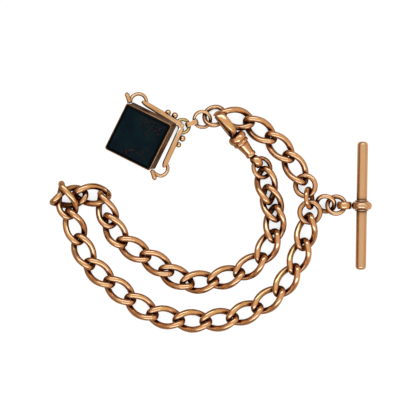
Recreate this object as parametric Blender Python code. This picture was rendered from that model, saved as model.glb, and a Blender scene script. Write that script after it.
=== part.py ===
"""A curb-link pocket watch chain laid on a table: a long run of twisted oval links with a dog clip at
one end, a short run with an end ring and a swivel fob at the other, and a T-bar on a junction ring.

Lengths below are millimetres and the meshes are written in metres. +Z is up, the table is z = 0,
+X runs to the right and +Y away from the viewer. Places on the table are given as pixels of the
416 x 416 photograph, which looks straight down, and PX is the width of one pixel on the table.
"""

import math

import bpy
import bmesh
import numpy as np
from mathutils import Matrix, Vector

for old in list(bpy.data.objects):
    bpy.data.objects.remove(old, do_unlink=True)

# ------------------------------------------------------------------ driving dimensions
PX = 0.3125  # millimetres on the table per photograph pixel
MID = (210.73, 211.49)  # photograph point above the part's origin

WIRE_R = 0.965  # curb link wire radius
LINK_LENGTH = 12.6  # outer length of a link
LINK_WIDTH = 7.4  # outer width of a link
LINK_POWER = 2.35  # 2 is an ellipse, more is squarer
LINK_TWIST = math.radians(60.0)  # each end turns this far out of the flat

GAP = 0.07  # least air between two wires at rest

END_RING = (3.2, 0.73)  # centre-line radius and wire radius of each round ring
RUN_RING = (3.16, 0.82)
JOINT_RING = (2.92, 0.75)
BRANCH_RING = (2.74, 0.72)
CLIP_RING = (3.02, 0.67)
FOB_RING = (2.56, 0.55)

BAR_R = 1.64  # T-bar
BAR_HALF = 20.0
BAR_END_ROUND = 0.75
COLLAR_R = 3.15
COLLAR_HALF = 1.16
BAR_Z = 3.2
EYE_R = 1.68  # centre-line radius of the round eyes on the T-bar and the clip
EYE_WALL = 0.62
EYE_HALF_WIDTH = 1.2
RUN_FIT = 0.07  # running clearance of a turning piece, on the radius

CLIP_EYE = (256.4, 161.4)  # photograph points on the clip's axis
CLIP_TIP = (214.8, 111.6)
CLIP_EYE_Z = 2.8
CLIP_PITCH = math.radians(13.9)  # the hook end rides up over the end ring
CLIP_ROLL = math.radians(21.0)  # the hook's plane leans this far from upright
CLIP_EYE_ROLL = math.radians(12.0)  # and the swivel eye's plane this far

STONE_SIDE = 15.75  # fob
STONE_THICK = 6.0
STONE_STRETCH = 1.067  # the stone is this much longer across the swivel axis than along it
FOB_CENTRE = (141.2, 136.7)
FOB_AXIS = (0.312, -0.950)  # swivel axis on the table, corner to corner
FOB_AXIS_Z = 6.5
FOB_TILT = math.radians(19.5)  # the stone leans about its swivel axis
FOB_FRAME_SLOPE = 0.3465  # the frame falls towards its bow

GOLD = (0.62, 0.31, 0.15, 1.0)
FOB_GOLD = (0.66, 0.38, 0.16, 1.0)
STONE = (0.006, 0.016, 0.018, 1.0)
STEEL = (0.42, 0.40, 0.38, 1.0)


def place(px, py, z=0.0):
    """A photograph point at height z, in millimetres in the part's frame."""
    return np.array([(px - MID[0]) * PX, (MID[1] - py) * PX, z])


# ------------------------------------------------------------------ centre-lines
LINK_A = LINK_LENGTH / 2 - WIRE_R
LINK_B = LINK_WIDTH / 2 - WIRE_R


def link_line(count):
    """Centre-line of a curb link: an oval in XY whose ends are turned opposite ways about X."""
    angle = (np.arange(count) + 0.5) * 2 * math.pi / count
    c, s = np.cos(angle), np.sin(angle)
    x = LINK_A * np.sign(c) * np.abs(c) ** (2 / LINK_POWER)
    y = LINK_B * np.sign(s) * np.abs(s) ** (2 / LINK_POWER)
    turn = -LINK_TWIST * x / LINK_A
    return np.stack([x, y * np.cos(turn), y * np.sin(turn)], 1)


def ring_line(radius, count):
    angle = np.arange(count) * 2 * math.pi / count
    return np.stack([radius * np.cos(angle), radius * np.sin(angle), 0 * angle], 1)


def bail_line(half_length, half_height, count):
    """A rounded box outline in XY, for the small band that joins the fob's bow to its ring."""
    angle = np.arange(count) * 2 * math.pi / count
    c, s = np.cos(angle), np.sin(angle)
    return np.stack(
        [
            half_length * np.sign(c) * np.abs(c) ** 0.5,
            half_height * np.sign(s) * np.abs(s) ** 0.5,
            0 * angle,
        ],
        1,
    )


def turn_about(axis, angle):
    return np.array(Matrix.Rotation(angle, 3, Vector(axis)))


def heading_frame(direction, roll=0.0, pitch=0.0):
    """Axes of a piece that lies along a direction on the table: rolled about it, then pitched up."""
    yaw = math.atan2(direction[1], direction[0])
    return (
        turn_about((0, 0, 1), yaw)
        @ turn_about((0, 1, 0), -pitch)
        @ turn_about((1, 0, 0), roll)
    )


# ------------------------------------------------------------------ where the chain lies
# Middle of each link on the table. The long run leaves the junction, goes round the outside,
# doubles back and comes up to the clip. The short run goes from the junction to the end ring.
OUTER = [
    (306.3, 231.8), (299.4, 256.2), (287.4, 280.2), (268.3, 300.2), (244.3, 313.1), (219.3, 319.8),
    (192.4, 320.8), (165.6, 317.5), (141.2, 307.5), (120.2, 290.2), (98.8, 273.2), (83.6, 251.8), (74.9, 226.6),
]
BEND = [(65.6, 200.0), (69.6, 197.8), (91.8, 194.6)]
INNER = [
    (105.8, 209.2), (113.4, 230.4), (133.5, 248.5), (157.5, 263.8), (176.4, 277.1), (199, 282.6), (226, 276.6),
    (251.1, 266.3), (267.8, 246.2), (275, 223.6), (272.0, 203.2), (265.6, 184.8),
]
SHORT = [(295.3, 168), (280.0, 147.0), (260.2, 130.2), (237.5, 117.8)]

FLAT_Z = 2.4
# Links that don't simply lie flat: (heading in degrees, roll in degrees, pitch in degrees, height).
POSED = {
    "bend_link_1": (102.0, -58.0, 14.0, 3.3),
    "bend_link_2": (15.0, 0.0, 0.0, 2.4),
    "bend_link_3": (-8.0, 0.0, 0.0, 2.4),
}

NAMES = (
    [f"outer_link_{i + 1:02d}" for i in range(len(OUTER))]
    + [f"bend_link_{i + 1}" for i in range(len(BEND))]
    + [f"inner_link_{i + 1:02d}" for i in range(len(INNER))]
)
LONG_RUN = list(zip(NAMES, OUTER + BEND + INNER))
SHORT_RUN = list(zip([f"short_link_{i + 1}" for i in range(len(SHORT))], SHORT))

# Round rings: middle on the table, height, (centre-line radius, wire radius), tilt axis on the table
# as degrees from +X, and tilt about it in degrees.
RINGS = {
    "ring_short_run": ((304.8, 185), 2.2, RUN_RING, 60, 8),
    "ring_junction": ((310.6, 198.8), 2.3, JOINT_RING, 110, 42),
    "ring_long_run": ((309.9, 212.2), 3.2, RUN_RING, 90, -14),
    "ring_branch_inner": ((324.3, 203.6), 2.2, BRANCH_RING, 0, 46),
    "ring_branch_outer": ((336.0, 204.6), 2.9, BRANCH_RING, 90, -8),
    "ring_clip": ((260.9, 167.2), 2.6, CLIP_RING, 40, 6),
    "ring_end": ((215.2, 114.8), 1.6, END_RING, 90, -12),
    "ring_fob": ((202.4, 120.5), 1.5, FOB_RING, 5, 30),
}

# The order in which pieces hang on each other.
PARENT = {
    "ring_short_run": "ring_junction",
    "ring_long_run": "ring_junction",
    "ring_branch_inner": "ring_junction",
    "ring_branch_outer": "ring_branch_inner",
    "ring_end": SHORT_RUN[-1][0],
    "ring_fob": "ring_end",
    "ring_clip": LONG_RUN[-1][0],
}
for run, first in ((LONG_RUN, "ring_long_run"), (SHORT_RUN, "ring_short_run")):
    for (name, _), before in zip(run, [first] + [n for n, _ in run]):
        PARENT[name] = before


class Wire:
    """One bent wire as a rigid piece: points of its centre-line, its axes and its middle."""

    def __init__(self, line, radius, axes, middle, fixed=False):
        self.line, self.radius, self.fixed = line, radius, fixed
        self.axes, self.middle = axes, np.array(middle, float)
        self.target, self.lie = self.middle[:2].copy(), axes
        self.reach = np.linalg.norm(line, axis=1).max() + radius
        spread = (line[:, :, None] * line[:, None, :]).mean(0)
        self.inertia = np.trace(spread) * np.eye(3) - spread
        self.update()

    def update(self):
        self.points = self.line @ self.axes.T + self.middle

    def push(self, at, shift):
        """Moves the piece as a push at a point would, given as a shift times its compliance."""
        arm = at - self.middle
        world = self.axes @ self.inertia @ self.axes.T
        spin = np.linalg.solve(world, np.cross(arm, shift))
        size = np.linalg.norm(spin)
        if size > 1e-12:
            self.axes = turn_about(spin / size, min(size, 0.05)) @ self.axes
        self.middle = self.middle + shift
        self.update()

    def give(self, at, way):
        """How easily the piece moves when pushed at a point in a direction."""
        if self.fixed:
            return 0.0
        arm = np.cross(at - self.middle, way)
        world = self.axes @ self.inertia @ self.axes.T
        return 1.0 + float(arm @ np.linalg.solve(world, arm))


def settle(wires, rounds, fall, hold, gap):
    """Lays the wires down: each sinks a little, is drawn to its place and lie on the table, and is
    pushed off the table and off every wire that it touches."""
    names = list(wires)
    near = []
    for count in range(rounds):
        if count % 15 == 0:
            near = [
                (wires[a], wires[b])
                for i, a in enumerate(names)
                for b in names[i + 1 :]
                if not (wires[a].fixed and wires[b].fixed)
                and np.linalg.norm(wires[a].middle - wires[b].middle)
                < wires[a].reach + wires[b].reach + 0.5
            ]
        for wire in wires.values():
            if wire.fixed:
                continue
            wire.middle[:2] += 0.03 * (wire.target - wire.middle[:2]) * (fall > 0)
            wire.middle[2] -= fall
            if hold > 0:
                spin = 0.5 * np.cross(wire.axes.T, wire.lie.T).sum(0)
                size = np.linalg.norm(spin)
                if size > 1e-9:
                    wire.axes = turn_about(spin / size, hold * size) @ wire.axes
            # Rounded, so that the chain comes to rest in the same place every time.
            wire.middle = np.round(wire.middle, 6)
            wire.axes = np.round(wire.axes, 6)
            wire.update()
        for one, two in near:
            apart = one.points[:, None] - two.points[None]
            square = np.round(np.einsum("ijk,ijk->ij", apart, apart), 7)
            i, j = np.unravel_index(square.argmin(), square.shape)
            least = one.radius + two.radius + gap
            length = math.sqrt(square[i, j])
            if length >= least:
                continue
            way = apart[i, j] / length
            at_one, at_two = one.points[i].copy(), two.points[j].copy()
            give = one.give(at_one, way) + two.give(at_two, way)
            size = (least - length) / give
            if not one.fixed:
                one.push(at_one, way * size)
            if not two.fixed:
                two.push(at_two, -way * size)
        for wire in wires.values():
            if wire.fixed:
                continue
            low = wire.points[:, 2].argmin()
            depth = wire.radius + 0.004 - wire.points[low, 2]
            if depth > 0:
                at = wire.points[low].copy()
                up = np.array([0.0, 0.0, 1.0])
                wire.push(at, up * depth / wire.give(at, up))


# ------------------------------------------------------------------ the clip's and eyes' places
clip_flat = place(*CLIP_TIP) - place(*CLIP_EYE)
CLIP_AXES = heading_frame(clip_flat, roll=CLIP_ROLL, pitch=CLIP_PITCH)
EYE_AXES = heading_frame(clip_flat, roll=CLIP_EYE_ROLL, pitch=CLIP_PITCH)
CLIP_EYE_AT = place(*CLIP_EYE, CLIP_EYE_Z)
CLIP_BASE = CLIP_EYE_AT + CLIP_AXES @ np.array([EYE_R + EYE_WALL - 0.1, 0, 0])
# Turns a loop drawn in XY up onto its edge.
UPRIGHT = turn_about((1, 0, 0), math.pi / 2)

BAR_TOP = place(362.7, 141.0, BAR_Z)
BAR_LOW = place(360.6, 269.0, BAR_Z)
BAR_MID = place(361.55, 205.7, BAR_Z)
BAR_WAY = (BAR_TOP - BAR_LOW) / np.linalg.norm(BAR_TOP - BAR_LOW)
# Axes of the T-bar: X away from the eye, Y along the bar, Z up.
BAR_AXES = np.stack([np.cross(BAR_WAY, (0, 0, 1.0)), BAR_WAY, np.array([0, 0, 1.0])], 1)
BAR_EYE_AT = BAR_MID + BAR_AXES @ np.array([-(COLLAR_R + EYE_R + EYE_WALL + 0.04), 0, 0])

BAIL_MID = place(191.75, 123.2, 1.16)
BAIL_WAY = place(196.3, 121.5) - place(188.1, 124.6)
BAIL_HALF = (1.98, 1.02)
BAIL_WALL = 0.13
BAIL_HALF_WIDTH = 0.74
BAIL_AXES = heading_frame(BAIL_WAY)

SAMPLES = 64
wires = {}
for run in (LONG_RUN, SHORT_RUN):
    spots = np.array([spot for _, spot in run], float)
    before = spots[:1] * 2 - spots[1:2]
    after = spots[-1:] * 2 - spots[-2:-1]
    if run is LONG_RUN:
        before, after = np.array([[309.9, 206.0]]), np.array([[262.0, 168.0]])
    else:
        before, after = np.array([[304.8, 187.0]]), np.array([[214.2, 110.0]])
    around = np.concatenate([before, spots, after])
    for k, (name, spot) in enumerate(run):
        step = around[k + 2] - around[k]
        roll, pitch, z = 0.0, 0.0, FLAT_Z
        way = (step[0], -step[1])
        if name in POSED:
            head, roll, pitch, z = POSED[name]
            way = (math.cos(math.radians(head)), math.sin(math.radians(head)))
        axes = heading_frame(way, math.radians(roll), math.radians(pitch))
        wires[name] = Wire(link_line(SAMPLES), WIRE_R, axes, place(*spot, z))
for name, (spot, z, (radius, wire_r), about, tilt) in RINGS.items():
    way = (math.cos(math.radians(about)), math.sin(math.radians(about)), 0)
    wires[name] = Wire(
        ring_line(radius, SAMPLES), wire_r, turn_about(way, math.radians(tilt)), place(*spot, z)
    )
# The eyes and the bail are broad bands that stay put: each is three loops side by side.
for name, line, wire_r, axes, middle, side in (
    ("clip_eye", ring_line(EYE_R, SAMPLES), EYE_WALL, EYE_AXES @ UPRIGHT, CLIP_EYE_AT, EYE_HALF_WIDTH - 0.45),
    ("tbar_eye", ring_line(EYE_R, SAMPLES), EYE_WALL, BAR_AXES @ UPRIGHT, BAR_EYE_AT, EYE_HALF_WIDTH - 0.45),
    ("fob_bail", bail_line(*BAIL_HALF, SAMPLES), 0.16, BAIL_AXES @ UPRIGHT, BAIL_MID, BAIL_HALF_WIDTH - 0.1),
):
    for part_name, shift in ((name, 0.0), (name + "_left", side), (name + "_right", -side)):
        wires[part_name] = Wire(line, wire_r, axes, middle + axes @ np.array([0, 0, shift]), True)

settle(wires, 240, 0.02, 0.02, GAP)
settle(wires, 160, 0.006, 0.002, GAP + 0.01)
settle(wires, 120, 0.0, 0.0, GAP + 0.02)


# ------------------------------------------------------------------ joints
# Each piece swings on the wire that it hangs on. Its hinge passes through the place where the two
# wires come nearest: on the held wire ("held"), on the piece's own wire ("own") or midway ("mid").
# The axis runs along the held wire, along the piece's own wire, along the sum or the difference of
# the two, or level across the chain and turned up about the chain by some degrees.
HINGES = {
    "ring_short_run": ("own", "own"),
    "short_link_1": ("held", "held"),
    "short_link_2": ("own", -30),
    "short_link_3": ("held", -45),
    "short_link_4": ("held", "held"),
    "ring_end": ("held", "held"),
    "ring_fob": ("held", 30),
    "fob_bail": ("held", -15),
    "ring_long_run": ("mid", -15),
    "outer_link_01": ("held", 0),
    "outer_link_02": ("own", "own"),
    "outer_link_03": ("own", "own"),
    "outer_link_04": ("own", "own"),
    "outer_link_05": ("own", "own"),
    "outer_link_06": ("own", "difference"),
    "outer_link_07": ("own", "own"),
    "outer_link_08": ("held", "held"),
    "outer_link_09": ("held", "held"),
    "outer_link_10": ("held", 15),
    "outer_link_11": ("held", -30),
    "outer_link_12": ("held", "held"),
    "outer_link_13": ("held", -45),
    "bend_link_1": ("own", 0),
    "bend_link_2": ("mid", "difference"),
    "bend_link_3": ("own", "held"),
    "inner_link_01": ("held", -15),
    "inner_link_02": ("own", "own"),
    "inner_link_03": ("held", "held"),
    "inner_link_04": ("own", -30),
    "inner_link_05": ("own", "own"),
    "inner_link_06": ("own", -30),
    "inner_link_07": ("own", "difference"),
    "inner_link_08": ("own", "own"),
    "inner_link_09": ("own", 15),
    "inner_link_10": ("own", -30),
    "inner_link_11": ("held", -45),
    "inner_link_12": ("own", -15),
    "ring_clip": ("own", -30),
    "clip_eye": ("held", "held"),
    "ring_branch_inner": ("own", "own"),
    "ring_branch_outer": ("held", 30),
    "tbar_collar": ("held", 0),
}


def hinge(held, own, across_sign, where, along):
    """The point and axis of the hinge between two wires."""
    apart = held.points[:, None] - own.points[None]
    i, j = np.unravel_index((apart**2).sum(2).argmin(), (SAMPLES, SAMPLES))
    spots = {"held": held.points[i], "own": own.points[j], "mid": (held.points[i] + own.points[j]) / 2}
    held_way = held.points[(i + 1) % SAMPLES] - held.points[i - 1]
    own_way = own.points[(j + 1) % SAMPLES] - own.points[j - 1]
    held_way, own_way = held_way / np.linalg.norm(held_way), own_way / np.linalg.norm(own_way)
    if along == "held":
        axis = held_way
    elif along == "own":
        axis = own_way
    elif along == "difference":
        axis = held_way - own_way
    else:
        way = own.middle - held.middle
        level = np.array([-way[1], way[0], 0.0]) * across_sign / math.hypot(way[0], way[1])
        up = math.radians(along)
        axis = level * math.cos(up) + np.array([0, 0, 1.0]) * math.sin(up)
    return spots[where], axis / np.linalg.norm(axis)


PARENT["tbar_collar"] = "ring_branch_outer"
PARENT["clip_eye"] = "ring_clip"
PARENT["fob_bail"] = "ring_fob"
OWN_WIRE = {"tbar_collar": "tbar_eye"}

JOINTS = {}  # body: (parent body, point on the axis, axis)
sign = 1
for name, before in PARENT.items():
    sign = -sign
    at, axis = hinge(wires[before], wires[OWN_WIRE.get(name, name)], sign, *HINGES[name])
    JOINTS[name] = (before, at, axis)


# ------------------------------------------------------------------ mesh builders
def solid(name, colour, at, vertices, faces, metallic=1.0, roughness=0.28):
    """A named object from points in millimetres, with its origin at a point of its joint's axis."""
    mesh = bpy.data.meshes.new(name)
    mesh.from_pydata([tuple((np.asarray(v) - at) * 0.001) for v in vertices], [], faces)
    bm = bmesh.new()
    bm.from_mesh(mesh)
    bmesh.ops.recalc_face_normals(bm, faces=bm.faces[:])
    bm.to_mesh(mesh)
    bm.free()
    mesh.shade_smooth()
    mesh.set_sharp_from_angle(angle=math.radians(50))
    obj = bpy.data.objects.new(name, mesh)
    obj.location = Vector(tuple(np.asarray(at) * 0.001))
    bpy.context.scene.collection.objects.link(obj)
    material = bpy.data.materials.new(name)
    material.use_nodes = True
    shader = material.node_tree.nodes["Principled BSDF"]
    shader.inputs["Base Color"].default_value = colour
    shader.inputs["Metallic"].default_value = metallic
    shader.inputs["Roughness"].default_value = roughness
    mesh.materials.append(material)
    return obj


def grid_faces(rows, columns, closed_rows):
    """Quads of a grid of points whose columns close up, and whose rows do too if asked."""
    faces = []
    for r in range(rows if closed_rows else rows - 1):
        for c in range(columns):
            a, b = r * columns + c, r * columns + (c + 1) % columns
            n = ((r + 1) % rows) * columns
            faces.append((a, b, n + (c + 1) % columns, n + c))
    return faces


def section(sides, half_wide, half_thick, power=2.0):
    """Outline of a tube's cross-section: round, or squarer with a higher power."""
    angle = (np.arange(sides) + 0.5) * 2 * math.pi / sides
    c, s = np.cos(angle), np.sin(angle)
    return np.stack(
        [
            half_wide * np.sign(c) * np.abs(c) ** (2 / power),
            half_thick * np.sign(s) * np.abs(s) ** (2 / power),
        ],
        1,
    )


def loop_tube(line, half_wide, half_thick, sides, wide_axis=None, power=2.0):
    """A closed tube along a closed line. wide_axis is the way its width faces, if it has one."""
    count = len(line)
    tangents = np.roll(line, -1, 0) - np.roll(line, 1, 0)
    tangents /= np.linalg.norm(tangents, axis=1)[:, None]
    outline = section(sides, half_wide, half_thick, power)
    points = []
    if wide_axis is None:
        # Carry a frame along the line, then spread what is left over at the end along it.
        side = np.cross(tangents[0], (0.31, 0.52, 0.79))
        side /= np.linalg.norm(side)
        sides_at = [side]
        for k in range(1, count + 1):
            t = tangents[k % count]
            side = side - t * (side @ t)
            side /= np.linalg.norm(side)
            sides_at.append(side)
        t0 = tangents[0]
        left = math.atan2(np.cross(sides_at[count], sides_at[0]) @ t0, sides_at[count] @ sides_at[0])
        for k in range(count):
            turn = turn_about(tangents[k], left * k / count)
            wide = turn @ sides_at[k]
            thick = np.cross(tangents[k], wide)
            points += [line[k] + wide * u + thick * v for u, v in outline]
    else:
        for k in range(count):
            wide = np.asarray(wide_axis, float)
            thick = np.cross(tangents[k], wide)
            points += [line[k] + wide * u + thick * v for u, v in outline]
    return points, grid_faces(count, sides, True)


def open_loft(line, wides, halves, sides, power=2.0):
    """A capped loft along an open line: per point, the way its width faces and its half sizes."""
    line = np.asarray(line, float)
    count = len(line)
    tangents = np.gradient(line, axis=0)
    tangents /= np.linalg.norm(tangents, axis=1)[:, None]
    points = []
    for k in range(count):
        wide = np.asarray(wides[k], float)
        wide = wide - tangents[k] * (wide @ tangents[k])
        wide /= np.linalg.norm(wide)
        thick = np.cross(tangents[k], wide)
        for u, v in section(sides, *halves[k], power):
            points.append(line[k] + wide * u + thick * v)
    faces = grid_faces(count, sides, False)
    faces.append(tuple(range(sides))[::-1])
    faces.append(tuple((count - 1) * sides + c for c in range(sides)))
    return points, faces


def turned(profile, steps, closed):
    """A shape turned about X from (x, radius) points. An open profile starts and ends on the axis."""
    points, faces = [], []
    if closed:
        for k in range(steps):
            a = 2 * math.pi * k / steps
            points += [(x, r * math.cos(a), r * math.sin(a)) for x, r in profile]
        return points, grid_faces(steps, len(profile), True)
    inner = profile[1:-1]
    points = [(profile[0][0], 0, 0), (profile[-1][0], 0, 0)]
    for x, r in inner:
        for k in range(steps):
            a = 2 * math.pi * k / steps
            points.append((x, r * math.cos(a), r * math.sin(a)))
    for k in range(steps):
        n = (k + 1) % steps
        faces.append((0, 2 + n, 2 + k))
        last = 2 + (len(inner) - 1) * steps
        faces.append((1, last + k, last + n))
        for m in range(len(inner) - 1):
            a = 2 + m * steps
            faces.append((a + k, a + n, a + steps + n, a + steps + k))
    return points, faces


def moved(points, axes, middle):
    return [axes @ np.asarray(p, float) + middle for p in points]


def smooth_path(spots, steps):
    """Points along a smooth curve through the given ones."""
    spots = np.asarray(spots, float)
    ends = np.concatenate([2 * spots[:1] - spots[1:2], spots, 2 * spots[-1:] - spots[-2:-1]])
    out = []
    for k in range(len(spots) - 1):
        a, b, c, d = ends[k : k + 4]
        for t in np.arange(steps) / steps:
            out.append(
                0.5 * (2 * b + (c - a) * t + (2 * a - 5 * b + 4 * c - d) * t**2 + (3 * b - a - 3 * c + d) * t**3)
            )
    out.append(spots[-1])
    return np.array(out)


def boolean(obj, tools, operation):
    """Joins to, or cuts from, an object a list of (points, faces) bodies given in millimetres."""
    for k, (points, faces) in enumerate(tools):
        helper = solid(f"{obj.name}_tool_{operation}_{k}".lower(), GOLD, np.zeros(3), points, faces)
        helper.hide_render = True
        helper.display_type = "WIRE"
        step = obj.modifiers.new(f"{operation.lower()}_{k}", "BOOLEAN")
        step.operation = operation
        step.solver = "EXACT"
        step.object = helper


def box(low, high):
    points = [
        (x, y, z) for x in (low[0], high[0]) for y in (low[1], high[1]) for z in (low[2], high[2])
    ]
    faces = [(0, 1, 3, 2), (4, 6, 7, 5), (0, 4, 5, 1), (2, 3, 7, 6), (0, 2, 6, 4), (1, 5, 7, 3)]
    return points, faces


def rod(start, end, radius, sides):
    """A plain round rod between two points."""
    start, end = np.asarray(start, float), np.asarray(end, float)
    way = end - start
    pick = (0, 0, 1) if abs(way[2]) < 0.9 * np.linalg.norm(way) else (1, 0, 0)
    wide = np.cross(way, pick)
    return open_loft([start, end], [wide, wide], [(radius, radius)] * 2, sides)


def ball(middle, radius, sides=10, rings=5):
    profile = [
        (-radius * math.cos(math.pi * k / (rings + 1)), radius * math.sin(math.pi * k / (rings + 1)))
        for k in range(rings + 2)
    ]
    points, faces = turned(profile, sides, False)
    return [np.asarray(p) + middle for p in points], faces


# ------------------------------------------------------------------ links and round rings
LINK_STEPS, WIRE_SIDES, RING_STEPS = 20, 6, 18

link_points, link_faces = loop_tube(link_line(LINK_STEPS), WIRE_R, WIRE_R, WIRE_SIDES)
for run in (LONG_RUN, SHORT_RUN):
    for name, _ in run:
        wire = wires[name]
        solid(name, GOLD, JOINTS[name][1], moved(link_points, wire.axes, wire.middle), link_faces)

for name, (_, _, (radius, wire_r), _, _) in RINGS.items():
    points, faces = loop_tube(ring_line(radius, RING_STEPS), wire_r, wire_r, WIRE_SIDES)
    wire = wires[name]
    at = JOINTS[name][1] if name in JOINTS else wire.middle
    solid(name, GOLD, at, moved(points, wire.axes, wire.middle), faces)

# ------------------------------------------------------------------ T-bar
JOINTS["tbar_bar"] = ("tbar_collar", BAR_MID, BAR_WAY)

ALONG_BAR = np.stack([BAR_AXES[:, 1], BAR_AXES[:, 2], BAR_AXES[:, 0]], 1)  # turned shapes run along X
end_arc = [
    (BAR_HALF - BAR_END_ROUND * (1 - math.sin(a)), BAR_R - BAR_END_ROUND * (1 - math.cos(a)))
    for a in np.linspace(0, math.pi / 2, 4)
]
bar_profile = [(-BAR_HALF, 0)] + [(-x, r) for x, r in end_arc[::-1]] + end_arc + [(BAR_HALF, 0)]
points, faces = turned(bar_profile, 16, False)
solid("tbar_bar", GOLD, BAR_MID, moved(points, ALONG_BAR, BAR_MID), faces)

bore = BAR_R + RUN_FIT
collar_profile = [(-COLLAR_HALF, bore), (COLLAR_HALF, bore)] + [
    (COLLAR_HALF * x, COLLAR_R - drop) for x, drop in ((1.0, 0.62), (0.72, 0.22), (0.0, 0.0), (-0.72, 0.22), (-1.0, 0.62))
]
points, faces = turned(collar_profile, 18, True)
solid("tbar_collar", GOLD, BAR_MID, moved(points, ALONG_BAR, BAR_MID), faces)

for name, side in (("tbar_washer_top", 1), ("tbar_washer_bottom", -1)):
    x0, x1 = side * (COLLAR_HALF + 0.08), side * (COLLAR_HALF + 0.5)
    points, faces = turned(
        [(x0, BAR_R + 0.03), (x1, BAR_R + 0.03), (x1, 2.0), ((x0 + x1) / 2, 2.12), (x0, 2.14)], 18, True
    )
    solid(name, GOLD, BAR_MID, moved(points, ALONG_BAR, BAR_MID), faces)

points, faces = loop_tube(
    ring_line(EYE_R, 16), EYE_HALF_WIDTH, EYE_WALL, 8, wide_axis=(0, 0, 1), power=2.6
)
eye = solid(
    "tbar_eye", GOLD, JOINTS["tbar_collar"][1], moved(points, BAR_AXES @ UPRIGHT, BAR_EYE_AT), faces
)
neck = rod(
    BAR_EYE_AT + BAR_AXES @ np.array([EYE_R, 0, 0]),
    BAR_MID + BAR_AXES @ np.array([-COLLAR_R - 0.03, 0, 0]),
    0.86,
    10,
)
boolean(eye, [neck], "UNION")

# ------------------------------------------------------------------ dog clip
# Own axes: X from the swivel eye to the hook's tip, Z from the gate to the hook's bar, Y across.
JOINTS["clip"] = ("clip_eye", CLIP_BASE, CLIP_AXES[:, 0])


def on_clip(body):
    points, faces = body
    return moved(points, CLIP_AXES, CLIP_BASE), faces


def clip_point(x, y, z):
    return CLIP_AXES @ np.array([x, y, z]) + CLIP_BASE


points, faces = loop_tube(
    ring_line(EYE_R, 16), EYE_HALF_WIDTH, EYE_WALL, 8, wide_axis=(0, 0, 1), power=2.6
)
eye = solid(
    "clip_eye", GOLD, JOINTS["clip_eye"][1], moved(points, EYE_AXES @ UPRIGHT, CLIP_EYE_AT), faces
)
SHANK_R = 0.58
shank = turned(
    [(-0.55, 0), (-0.55, SHANK_R), (1.5, SHANK_R), (1.5, 0.86), (2.1, 0.86), (2.3, 0.6), (2.3, 0)], 12, False
)
boolean(eye, [on_clip(shank)], "UNION")

barrel_profile = [
    (0.12, SHANK_R + RUN_FIT), (1.35, SHANK_R + RUN_FIT), (1.35, 1.0), (2.6, 1.05), (5.1, 1.4), (5.1, 2.02),
    (4.6, 1.96), (1.6, 1.52), (1.36, 1.46), (1.12, 1.62), (0.6, 1.7), (0.26, 1.6), (0.12, 1.36),
]
solid("clip_barrel", GOLD, CLIP_BASE, *on_clip(turned(barrel_profile, 16, True)))

collar_profile = [
    (5.16, 1.32), (8.6, 1.32), (8.6, 2.2), (8.3, 2.68), (7.5, 2.94), (6.7, 2.76), (6.32, 2.4),
    (6.1, 2.4), (5.8, 2.58), (5.4, 2.56), (5.16, 2.4),
]
PIN_AT = (7.35, -2.16)
collar = solid("clip_collar", GOLD, CLIP_BASE, *on_clip(turned(collar_profile, 20, True)))
boss = rod((PIN_AT[0], -1.24, PIN_AT[1]), (PIN_AT[0], 1.24, PIN_AT[1]), 0.76, 12)
boolean(collar, [on_clip(boss)], "UNION")
slot = box((6.35, -0.88, -3.6), (9.2, 0.88, -1.1))
pin_hole = rod((PIN_AT[0], -3, PIN_AT[1]), (PIN_AT[0], 3, PIN_AT[1]), 0.36, 10)
boolean(collar, [on_clip(slot), on_clip(pin_hole)], "DIFFERENCE")

hook_line = [
    (5.6, 0, 0), (8.2, 0, 0), (8.8, 0, 0.25), (9.5, 0, 1.0), (10.2, 0, 1.42), (13.2, 0, 1.6), (15.8, 0, 1.5),
    (16.9, 0, 1.05), (17.5, 0, 0.2), (17.65, 0, -0.75), (17.55, 0, -1.45),
]
hook_halves = [
    (1.1, 1.1), (1.05, 0.98), (0.94, 0.85), (0.86, 0.7), (0.9, 0.64), (1.16, 0.6), (1.26, 0.58), (1.24, 0.55),
    (1.16, 0.5), (1.02, 0.44), (0.84, 0.34),
]
solid(
    "clip_hook", GOLD, CLIP_BASE,
    *on_clip(open_loft(hook_line, [(0, 1, 0)] * len(hook_line), hook_halves, 8, 2.6)),
)

gate_line = [(7.35, 0, -2.16), (8.6, 0, -2.12), (10.0, 0, -1.96), (13.4, 0, -1.75), (16.4, 0, -1.6), (16.95, 0, -1.55)]
gate_halves = [(0.72, 0.5), (0.78, 0.46), (0.92, 0.46), (0.95, 0.44), (0.86, 0.38), (0.66, 0.26)]
JOINTS["clip_gate"] = ("clip", clip_point(PIN_AT[0], 0, PIN_AT[1]), -CLIP_AXES[:, 1])
gate = solid(
    "clip_gate", GOLD, JOINTS["clip_gate"][1],
    *on_clip(open_loft(gate_line, [(0, 1, 0)] * len(gate_line), gate_halves, 8, 2.6)),
)
knuckle = rod((PIN_AT[0], -0.78, PIN_AT[1]), (PIN_AT[0], 0.78, PIN_AT[1]), 0.7, 12)
boolean(gate, [on_clip(knuckle)], "UNION")
gate_hole = rod((PIN_AT[0], -2, PIN_AT[1]), (PIN_AT[0], 2, PIN_AT[1]), 0.36, 10)
boolean(gate, [on_clip(gate_hole)], "DIFFERENCE")
solid(
    "clip_gate_pin", GOLD, JOINTS["clip_gate"][1],
    *on_clip(rod((PIN_AT[0], -1.2, PIN_AT[1]), (PIN_AT[0], 1.2, PIN_AT[1]), 0.3, 10)),
)
spring_line = [(6.42, 0, -1.38), (7.2, 0, -1.36), (8.2, 0, -1.32), (9.4, 0, -1.08), (10.2, 0, -0.85)]
solid(
    "clip_gate_spring", STEEL, CLIP_BASE,
    *on_clip(open_loft(spring_line, [(0, 1, 0)] * 5, [(0.55, 0.06)] * 5, 6, 3.0)),
)

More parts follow.
